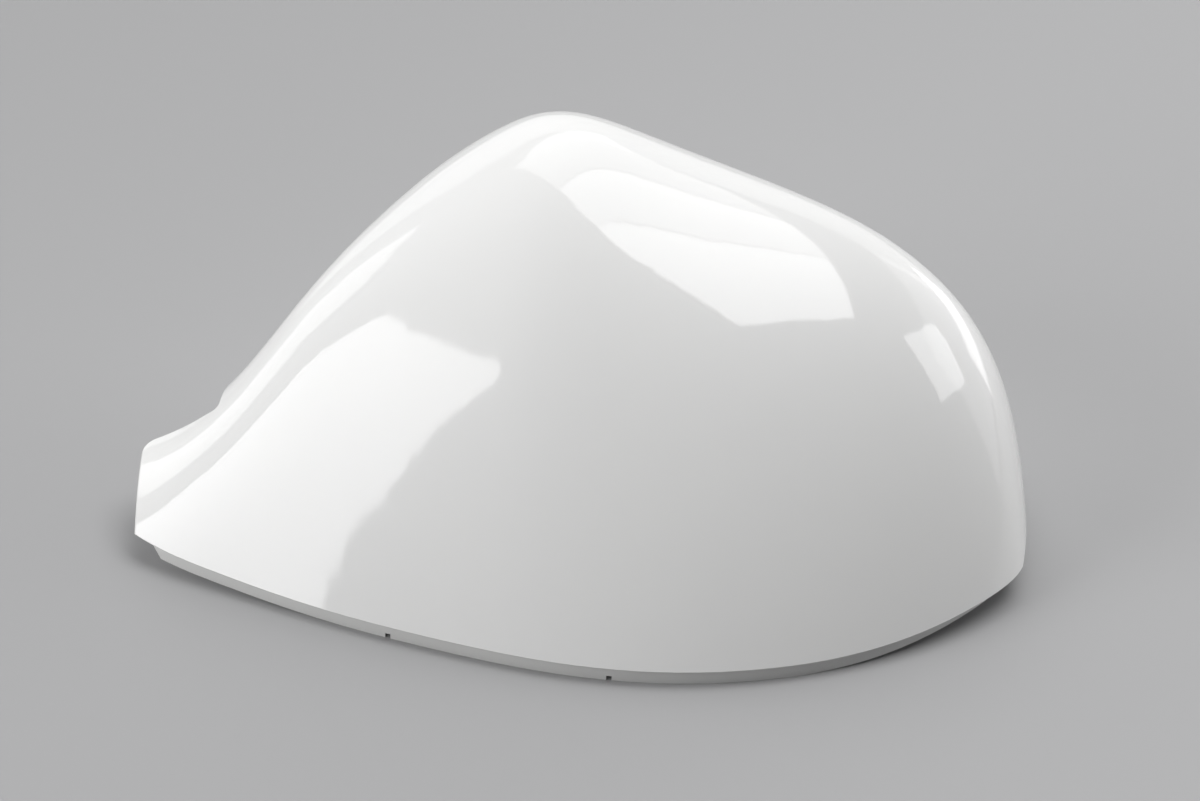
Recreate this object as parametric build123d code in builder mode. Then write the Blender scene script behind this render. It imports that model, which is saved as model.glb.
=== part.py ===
# Wing mirror cover: one moulded cap that lies on its rim. Millimetres.
# X runs from the neck to the outboard end, Y from the lower edge to the upper edge, Z up from the rim.
import math
import os

from build123d import *

# Overall size
length = 240.4
width = 140.0
height = 105.0
wall = 2.6

# Form lines, drawn for a cap of the size below. Each station along the length holds the foot of the
# lower side, the ridge across and up with its fall in degrees, and the upper edge in the same way
drawn_length = 240.4
drawn_width = 140.0
drawn_height = 105.0
form = [
    (-132.0, -19.0, 4.9, 11.4, -15.0, 27.5, 3.6, 26.0),
    (-112.0, -29.4, 5.3, 25.0, -2.6, 32.7, 12.5, 41.0),
    (-94.0, -37.7, 10.8, 40.1, 21.6, 36.6, 9.2, 65.0),
    (-74.0, -47.1, 23.1, 60.5, 37.0, 49.0, -5.5, 80.0),
    (-48.0, -58.1, 42.8, 79.6, 35.0, 63.2, -8.0, 86.0),
    (-24.0, -66.8, 53.2, 93.2, 35.0, 69.8, -8.0, 86.0),
    (-9.0, -71.2, 54.2, 98.9, 35.0, 70.3, -8.0, 86.0),
    (20.0, -75.8, 48.2, 94.6, 35.0, 65.0, -8.0, 86.0),
    (52.0, -73.8, 38.0, 86.3, 35.0, 54.0, -8.0, 86.0),
    (84.0, -64.5, 28.0, 74.0, 35.0, 42.0, -9.0, 86.0),
    (107.0, -52.5, 18.0, 53.5, 35.0, 29.0, -12.0, 86.0),
    (117.5, -46.0, 6.0, 29.5, 35.0, 18.0, -18.0, 86.0),
    (121.0, -43.0, -7.0, 3.0, 35.0, 8.0, -28.0, 86.0),
    (123.5, -41.0, -12.0, -20.0, 35.0, -2.0, -40.0, 86.0),
]
foot_depth = -8.0
lower_lean = 24.0

# Rim seen from the side: flat in the middle, lifted towards both ends
rim_flat = 55.0
neck_radius = 660.0
edge_radius = 540.0
tongue_radius = 245.0
end_inset = 1.9
end_slope = 70.0
end_clear = 10.0

# Tongue below the painted edge, set in from the skin
tongue_height = 4.3
tongue_inset = 1.2
tongue_neck = 1.6
tongue_slant = 5.4
tongue_stop = 12.7

# Nicks in the tongue along the lower edge
nick_at = (-50.5, 7.7)
nick_width = 1.4
nick_height = 1.4

# Neck seen from above: its end, its trimmed upper edge and the notch behind it
neck_low = (-120.7, -25.0)
neck_corner = (-119.5, 10.9)
notch_corner = (-97.7, 2.8)
notch_end = (-88.0, 60.0)
neck_round = 2.8
notch_round = 1.0
neck_clear = 8.0

# Snap blades inside the rim: place on the plan and the heading of the barb
lower_blades = [(-66.0, -35.0, 61.0), (-3.5, -57.5, 80.0), (59.5, -57.0, 105.0)]
upper_blades = [(-29.0, 60.0, -71.0), (55.0, 43.5, -110.0)]
blade_width = 12.0
blade_thick = 2.2
blade_foot = 3.0
blade_rise = 100.0
barb_reach = 2.2
barb_height = 6.0
arm_height = 22.0
arm_thick = 2.2
arm_run = 25.0
gusset_height = 14.0
gusset_thick = 1.6
gusset_run = 6.0

# Broken edge all round the paint
edge_break = 0.4

# How far the cutting bodies run, and which faces count as looking down
reach = 200.0
down = (0, 0, -1)
downwards = 0.8


def placed(x, y, z=0.0):
    """A point of the drawn form at the wanted overall size."""
    return (x * length / drawn_length, y * width / drawn_width, z * height / drawn_height)


def falling(degrees):
    """A direction across the cap, falling towards the upper edge."""
    angle = math.radians(degrees)
    return (0, math.cos(angle), -math.sin(angle))


def rise(radius, run):
    """The height an arc gains over a run from where it lies flat."""
    return radius - math.sqrt(radius**2 - run**2)


def skin_over(rows):
    """A skin over three long lines, with one arched section at every row of three points."""
    lines = [Spline(*line) for line in zip(*rows)]
    arches = [Spline(*row, tangents=slopes) for row, slopes in zip(rows, tangents)]
    return Face.make_gordon_surface(arches, lines)


def set_in(depth):
    """The skin moved inwards by a depth."""
    return skin_over([[Vector(p) + skin.normal_at(p) * depth for p in row] for row in points])


def facing(x, y, heading):
    """An upright plane at a place on the plan, its first axis along the heading."""
    angle = math.radians(heading)
    along = (math.cos(angle), math.sin(angle), 0)
    return Plane(origin=placed(x, y), x_dir=along, z_dir=(along[1], -along[0], 0))


def underside(builder):
    """The faces of a part that look down."""
    return builder.faces().filter_by(lambda face: face.normal_at().Z < -downwards)


# Outer skin, the skin of the tongue and the skin of the hollow
points = []
tangents = []
for x, near, ridge_y, ridge_z, ridge_fall, far, far_z, far_fall in form:
    near_z = min(far_z, foot_depth)
    points.append([placed(x, near, near_z), placed(x, ridge_y, ridge_z), placed(x, far, far_z)])
    tangents.append([falling(lower_lean - 90), falling(ridge_fall), falling(far_fall)])
skin = skin_over(points)
tongue_skin = set_in(tongue_inset)
inner_skin = set_in(wall)

# Side view above the painted edge
neck_run = length / 2 - rim_flat + neck_clear
edge_neck = (-rim_flat - neck_run, tongue_height + rise(neck_radius, neck_run))
end_corner = length / 2 - end_inset
edge_end = (end_corner, tongue_height + rise(edge_radius, end_corner - rim_flat))
end_top = (end_corner + reach / math.tan(math.radians(end_slope)), edge_end[1] + reach)
with BuildSketch(Plane.XZ) as above_edge:
    with BuildLine():
        RadiusArc((-rim_flat, tongue_height), edge_neck, neck_radius)
        Line((-rim_flat, tongue_height), (rim_flat, tongue_height))
        RadiusArc((rim_flat, tongue_height), edge_end, -edge_radius)
        Polyline(edge_end, end_top, (edge_neck[0], end_top[1]), edge_neck)
    make_face()

# Side view of the hollow, which runs on past the outboard end
past_end = end_corner + end_clear
edge_past = (past_end, tongue_height + rise(edge_radius, past_end - rim_flat))
with BuildSketch(Plane.XZ) as hollow_zone:
    with BuildLine():
        RadiusArc((-rim_flat, tongue_height), edge_neck, neck_radius)
        Line((-rim_flat, tongue_height), (rim_flat, tongue_height))
        RadiusArc((rim_flat, tongue_height), edge_past, -edge_radius)
        Polyline(edge_past, (past_end, end_top[1]), (edge_neck[0], end_top[1]), edge_neck)
    make_face()

# Side view of the tongue, carried on up inside the wall
tongue_start = tongue_neck - length / 2
tongue_end = length / 2 - tongue_stop
tongue_run = -tongue_start - tongue_slant - rim_flat
foot_neck = (-rim_flat - tongue_run, rise(neck_radius, tongue_run))
foot_end = (tongue_end, rise(tongue_radius, tongue_end - rim_flat))
tongue_top = tongue_height + edge_end[1]
with BuildSketch(Plane.XZ) as tongue_zone:
    with BuildLine():
        RadiusArc((-rim_flat, 0), foot_neck, neck_radius)
        Line((-rim_flat, 0), (rim_flat, 0))
        RadiusArc((rim_flat, 0), foot_end, -tongue_radius)
        Polyline(foot_end, (tongue_end, tongue_top), (tongue_start, tongue_top), foot_neck)
    make_face()

# Plan of what is cut away beyond the neck and behind it
outline = [placed(*corner) for corner in (neck_low, neck_corner, notch_corner, notch_end)]
with BuildSketch() as neck_cut:
    with BuildLine():
        FilletPolyline(*outline, radius=(neck_round, notch_round))
        Polyline(outline[-1], (-reach, outline[-1][1]), (-reach, outline[0][1]), outline[0])
    make_face()

# Tongue, straight down from the set-in skin and solid across the cap until it is hollowed out
with BuildPart() as tongue:
    extrude(tongue_skin, amount=reach, dir=down)
    extrude(above_edge.sketch, amount=reach, both=True, mode=Mode.INTERSECT)
    extrude(underside(tongue), amount=reach, dir=down)
    extrude(tongue_zone.sketch, amount=reach, both=True, mode=Mode.INTERSECT)
    extrude(neck_cut.sketch, amount=reach, both=True, mode=Mode.SUBTRACT)

# Hollow, straight down below the painted edge and clear of the cut at the outboard end
with BuildPart() as hollow:
    extrude(inner_skin, amount=reach, dir=down)
    extrude(hollow_zone.sketch, amount=reach, both=True, mode=Mode.INTERSECT)
    extrude(underside(hollow), amount=reach, dir=down)

# Snap blades with their barbs, trimmed to end within the wall
with BuildPart() as blades:
    barb_top = blade_foot + barb_height
    barb_out = blade_thick + barb_reach
    for x, y, heading in lower_blades + upper_blades:
        blade_top = blade_rise if (x, y, heading) in lower_blades else arm_height
        with BuildSketch(facing(x, y, heading)):
            with BuildLine():
                Polyline(
                    (0, blade_foot),
                    (blade_thick / 2, blade_foot),
                    (barb_out, barb_top),
                    (blade_thick, barb_top),
                    (blade_thick, blade_top),
                    (0, blade_top),
                    close=True,
                )
            make_face()
        extrude(amount=blade_width / 2, both=True)
    for x, y, heading in upper_blades:
        with BuildSketch(facing(x, y, heading)):
            with Locations((-arm_run, arm_height)):
                Rectangle(blade_thick + arm_run, arm_thick, align=(Align.MIN, Align.MIN))
        extrude(amount=blade_width / 2, both=True)
        for side in (-1, 1):
            with BuildSketch(facing(x, y, heading).offset(side * (blade_width - gusset_thick) / 2)):
                with BuildLine():
                    Polyline(
                        (-arm_run, arm_height),
                        (blade_thick, arm_height),
                        (blade_thick, arm_height + arm_thick),
                        (-gusset_run, arm_height + gusset_height),
                        (-arm_run, arm_height + gusset_height),
                        close=True,
                    )
                make_face()
            extrude(amount=gusset_thick / 2, both=True)
    extrude(tongue_skin, amount=reach, dir=down, mode=Mode.INTERSECT)

# The cap: painted form with its edges broken, tongue below it, hollowed out, blades added
with BuildPart() as cover:
    extrude(skin, amount=reach, dir=down)
    extrude(above_edge.sketch, amount=reach, both=True, mode=Mode.INTERSECT)
    extrude(neck_cut.sketch, amount=reach, both=True, mode=Mode.SUBTRACT)
    painted = cover.faces().sort_by(SortBy.AREA)[-1]
    chamfer(painted.edges(), length=edge_break)
    add(tongue.part)
    add(hollow.part, mode=Mode.SUBTRACT)
    add(blades.part)
    for x in nick_at:
        with Locations(placed(x, -drawn_width / 2)):
            Box(nick_width, width / 2, 2 * nick_height, mode=Mode.SUBTRACT)

# Set with the middle of the plan over the origin
middle = cover.part.bounding_box().center()
cover.part.position = (-middle.X, -middle.Y, 0)

os.makedirs("parts", exist_ok=True)
cover.part.label = "mirror_cover"
export_step(cover.part, "parts/mirror_cover.step")
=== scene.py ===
import math

import bpy
from mathutils import Matrix, Vector

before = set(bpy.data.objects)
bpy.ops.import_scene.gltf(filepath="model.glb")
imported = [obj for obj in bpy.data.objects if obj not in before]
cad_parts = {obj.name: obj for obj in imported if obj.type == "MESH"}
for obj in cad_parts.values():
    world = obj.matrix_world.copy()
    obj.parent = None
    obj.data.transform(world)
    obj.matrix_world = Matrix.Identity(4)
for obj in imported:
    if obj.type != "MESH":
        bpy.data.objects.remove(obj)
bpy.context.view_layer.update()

scene = bpy.context.scene
scene.view_settings.view_transform = "Standard"
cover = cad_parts["mirror_cover"]

# Camera at the photograph's angle, in metres, with its lens and sensor in millimetres
target = Vector((0.00546, 0.00225, 0.040))
elevation = math.radians(35.0)
distance = 1.0
lens = 111.6
sensor_width = 36.0

# Floor and the even light of the room
floor_size = 6.0
floor_colour = (0.38, 0.38, 0.385, 1.0)
floor_roughness = 0.7
world_colour = (0.50, 0.50, 0.51, 1.0)
world_strength = 0.17

# One large crown panel in three parts, with narrow seams between them
panel_across = (0.791, 0.601, -0.117)
panel_along = (-0.544, 0.602, -0.585)

# Softboxes, the last two of them dim wall panels: middle of the face, direction across,
# direction along, size, radiance
softboxes = {
    "crown_box_front": ((0.836, -0.168, 1.840), panel_across, panel_along, (1.11, 1.33), 4.6),
    "crown_box_middle": ((0.327, 0.395, 1.293), panel_across, panel_along, (1.11, 0.515), 3.2),
    "crown_box_back": ((0.017, 0.739, 0.960), panel_across, panel_along, (1.11, 0.60), 1.6),
    "left_box": (
        (-0.978, -0.466, 0.552), (-0.208, 0.977, -0.039), (0.010, -0.038, -0.999), (0.71, 0.90), 4.4
    ),
    "back_left_box": (
        (-1.082, 0.422, 0.505), (0.375, 0.897, -0.234), (-0.091, -0.215, -0.972), (0.46, 0.83), 2.1
    ),
    "right_box": (
        (1.165, 0.139, 0.583), (-0.435, -0.866, 0.247), (0.779, -0.499, -0.379), (0.49, 0.36), 3.3
    ),
    "back_right_box": ((1.05, 0.89, 0.13), (0.682, -0.731, 0), (0, 0, 1), (0.65, 0.26), 2.5),
    "back_wall": ((0.10, 1.70, 0.65), (1, 0, 0), (0, 0, 1), (3.20, 1.20), 0.78),
    "right_wall": ((1.75, 0.85, 0.60), (0.44, -0.90, 0), (0, 0, 1), (1.60, 1.10), 0.75),
}

# Paint where its film is full and where it is thin, and the bare plastic inside; the bare tone is
# also painted on the tongue as its shade
paint_full = (0.86, 0.86, 0.85, 1.0)
paint_thin = (0.84, 0.84, 0.835, 1.0)
bare_and_tongue_shade_colour = (0.66, 0.66, 0.65, 1.0)
paint_roughness = 0.42
bare_roughness = 0.60
specular_level = 0.2
coat_roughness = 0.06

# Clouds in the paint's tone, its orange peel and the grain of the bare plastic; depths in metres
cloud_scale = 22.0
cloud_detail = 2.0
peel_scale = 620.0
peel_detail = 1.0
peel_depth = 0.0000015
grain_scale = 1500.0
grain_detail = 2.0
grain_depth = 0.00002

# Where the paint is: on faces that look away from a middle point, and above the painted edge, which
# is flat in the middle of the rim and rises in arcs towards the neck and the outboard end; below it
# the tongue is given the darker bare tone as painted shade
inside_centre = (0.0, 0.0, 0.004)
inside_stretch = (0.85, 1.0, 1.0)
edge_height = 0.00425
rim_flat = 0.055
neck_radius = 0.660
end_radius = 0.540


def principled(name):
    """A new material and its shader."""
    material = bpy.data.materials.new(name)
    material.use_nodes = True
    return material, material.node_tree.nodes["Principled BSDF"]


def feed(tree, slot, value):
    """Links a socket to an input, or sets a constant on it."""
    if isinstance(value, bpy.types.NodeSocket):
        tree.links.new(value, slot)
    else:
        slot.default_value = value


def noise(tree, place, scale, detail):
    """A noise texture at a place on the object, as its value between 0 and 1."""
    texture = tree.nodes.new("ShaderNodeTexNoise")
    feed(tree, texture.inputs["Vector"], place)
    feed(tree, texture.inputs["Scale"], scale)
    feed(tree, texture.inputs["Detail"], detail)
    return texture.outputs["Fac"]


def bump(tree, height, depth):
    """A normal from a height that is scaled to a depth in metres."""
    node = tree.nodes.new("ShaderNodeBump")
    feed(tree, node.inputs["Height"], height)
    feed(tree, node.inputs["Distance"], depth)
    return node.outputs["Normal"]


def mixed(tree, share, first, second, kind="RGBA"):
    """Two values, each a constant or a socket, mixed by a share."""
    mix = tree.nodes.new("ShaderNodeMix")
    mix.data_type = kind
    slots = [socket for socket in mix.inputs if socket.enabled]
    feed(tree, slots[0], share)
    feed(tree, slots[-2], first)
    feed(tree, slots[-1], second)
    return next(socket for socket in mix.outputs if socket.enabled)


def compute(tree, operation, first, second=0.0):
    """A number worked out from two values, each a constant or a socket."""
    step = tree.nodes.new("ShaderNodeMath")
    step.operation = operation
    feed(tree, step.inputs[0], first)
    feed(tree, step.inputs[1], second)
    return step.outputs["Value"]


def vector_math(tree, operation, first, second):
    """A vector, or the number of a dot product, from two vectors."""
    step = tree.nodes.new("ShaderNodeVectorMath")
    step.operation = operation
    feed(tree, step.inputs[0], first)
    feed(tree, step.inputs[1], second)
    return step.outputs["Value" if operation == "DOT_PRODUCT" else "Vector"]


def above_edge(tree, place):
    """One above the painted edge and zero on the tongue below it."""
    apart = tree.nodes.new("ShaderNodeSeparateXYZ")
    feed(tree, apart.inputs["Vector"], place)
    x, z = apart.outputs["X"], apart.outputs["Z"]
    past_flat = compute(tree, "SUBTRACT", compute(tree, "ABSOLUTE", x), rim_flat)
    run = compute(tree, "MAXIMUM", past_flat)
    at_end = compute(tree, "GREATER_THAN", x)
    radius = mixed(tree, at_end, neck_radius, end_radius, "FLOAT")

    # An arc rises by about half the square of its run, over its radius
    twice_rise = compute(tree, "DIVIDE", compute(tree, "MULTIPLY", run, run), radius)
    edge = compute(tree, "ADD", compute(tree, "MULTIPLY", twice_rise, 0.5), edge_height)
    # Zero marks the tongue, which gets the darker bare tone as painted shade
    return compute(tree, "GREATER_THAN", z, edge)


def paint_material():
    """White clear-coated paint with an orange peel; bare satin plastic inside, whose darker tone on
    the tongue is painted shade.
    """
    material, shader = principled("white_paint_coat")
    tree = material.node_tree
    coordinates = tree.nodes.new("ShaderNodeTexCoord")
    place = coordinates.outputs["Object"]

    # The share of paint: one on the outer skin, zero inside and on the tongue below the painted
    # edge, where the darker tone is painted shade
    from_centre = vector_math(tree, "SUBTRACT", place, inside_centre)
    stretched = vector_math(tree, "MULTIPLY", from_centre, inside_stretch)
    outward = vector_math(tree, "DOT_PRODUCT", coordinates.outputs["Normal"], stretched)
    outer = compute(tree, "GREATER_THAN", outward)
    outer_paint_above_tongue_shade = compute(tree, "MULTIPLY", outer, above_edge(tree, place))

    clouds = noise(tree, place, cloud_scale, cloud_detail)
    paint = mixed(tree, clouds, paint_thin, paint_full)
    # The tongue's darker bare tone is painted shade; inside it is the bare plastic's own colour
    colour = mixed(tree, outer_paint_above_tongue_shade, bare_and_tongue_shade_colour, paint)
    roughness = mixed(tree, outer_paint_above_tongue_shade, bare_roughness, paint_roughness, "FLOAT")
    peel = bump(tree, noise(tree, place, peel_scale, peel_detail), peel_depth)
    grain = bump(tree, noise(tree, place, grain_scale, grain_detail), grain_depth)
    normal = mixed(tree, outer_paint_above_tongue_shade, grain, peel, "VECTOR")

    feed(tree, shader.inputs["Base Color"], colour)
    feed(tree, shader.inputs["Roughness"], roughness)
    feed(tree, shader.inputs["Normal"], normal)
    feed(tree, shader.inputs["Coat Normal"], normal)
    feed(tree, shader.inputs["Coat Weight"], outer_paint_above_tongue_shade)
    shader.inputs["Specular IOR Level"].default_value = specular_level
    shader.inputs["Coat Roughness"].default_value = coat_roughness
    return material


def floor_material():
    """Pale matt floor."""
    material, shader = principled("floor")
    shader.inputs["Base Color"].default_value = floor_colour
    shader.inputs["Roughness"].default_value = floor_roughness
    return material


def softbox(name, place, across, along, size, radiance):
    """An area lamp that shows the given radiance and has its back turned away from the cover."""
    lamp = bpy.data.lights.new(name, "AREA")
    lamp.shape = "RECTANGLE"
    lamp.size, lamp.size_y = size
    lamp.energy = radiance * math.pi * size[0] * size[1]
    holder = bpy.data.objects.new(name, lamp)
    scene.collection.objects.link(holder)
    x_axis = Vector(across).normalized()
    z_axis = x_axis.cross(Vector(along)).normalized()
    y_axis = z_axis.cross(x_axis)
    if z_axis.dot(Vector(place)) < 0:
        x_axis, z_axis = -x_axis, -z_axis
    turn = Matrix((x_axis, y_axis, z_axis)).transposed().to_4x4()
    holder.matrix_world = Matrix.Translation(place) @ turn


cover.data.materials.clear()
cover.data.materials.append(paint_material())

bpy.ops.mesh.primitive_plane_add(size=floor_size)
floor = bpy.context.object
floor.name = "floor"
floor.data.materials.append(floor_material())

world = bpy.data.worlds.new("studio")
scene.world = world
world.use_nodes = True
background = world.node_tree.nodes["Background"]
background.inputs["Color"].default_value = world_colour
background.inputs["Strength"].default_value = world_strength

for name, values in softboxes.items():
    softbox(name, *values)

camera = bpy.data.objects.new("camera", bpy.data.cameras.new("camera"))
scene.collection.objects.link(camera)
back = Vector((0, -math.cos(elevation), math.sin(elevation)))
camera.location = target + back * distance
camera.rotation_mode = "QUATERNION"
camera.rotation_quaternion = (-back).to_track_quat("-Z", "Y")
camera.data.sensor_fit = "HORIZONTAL"
camera.data.sensor_width = sensor_width
camera.data.lens = lens
scene.camera = camera
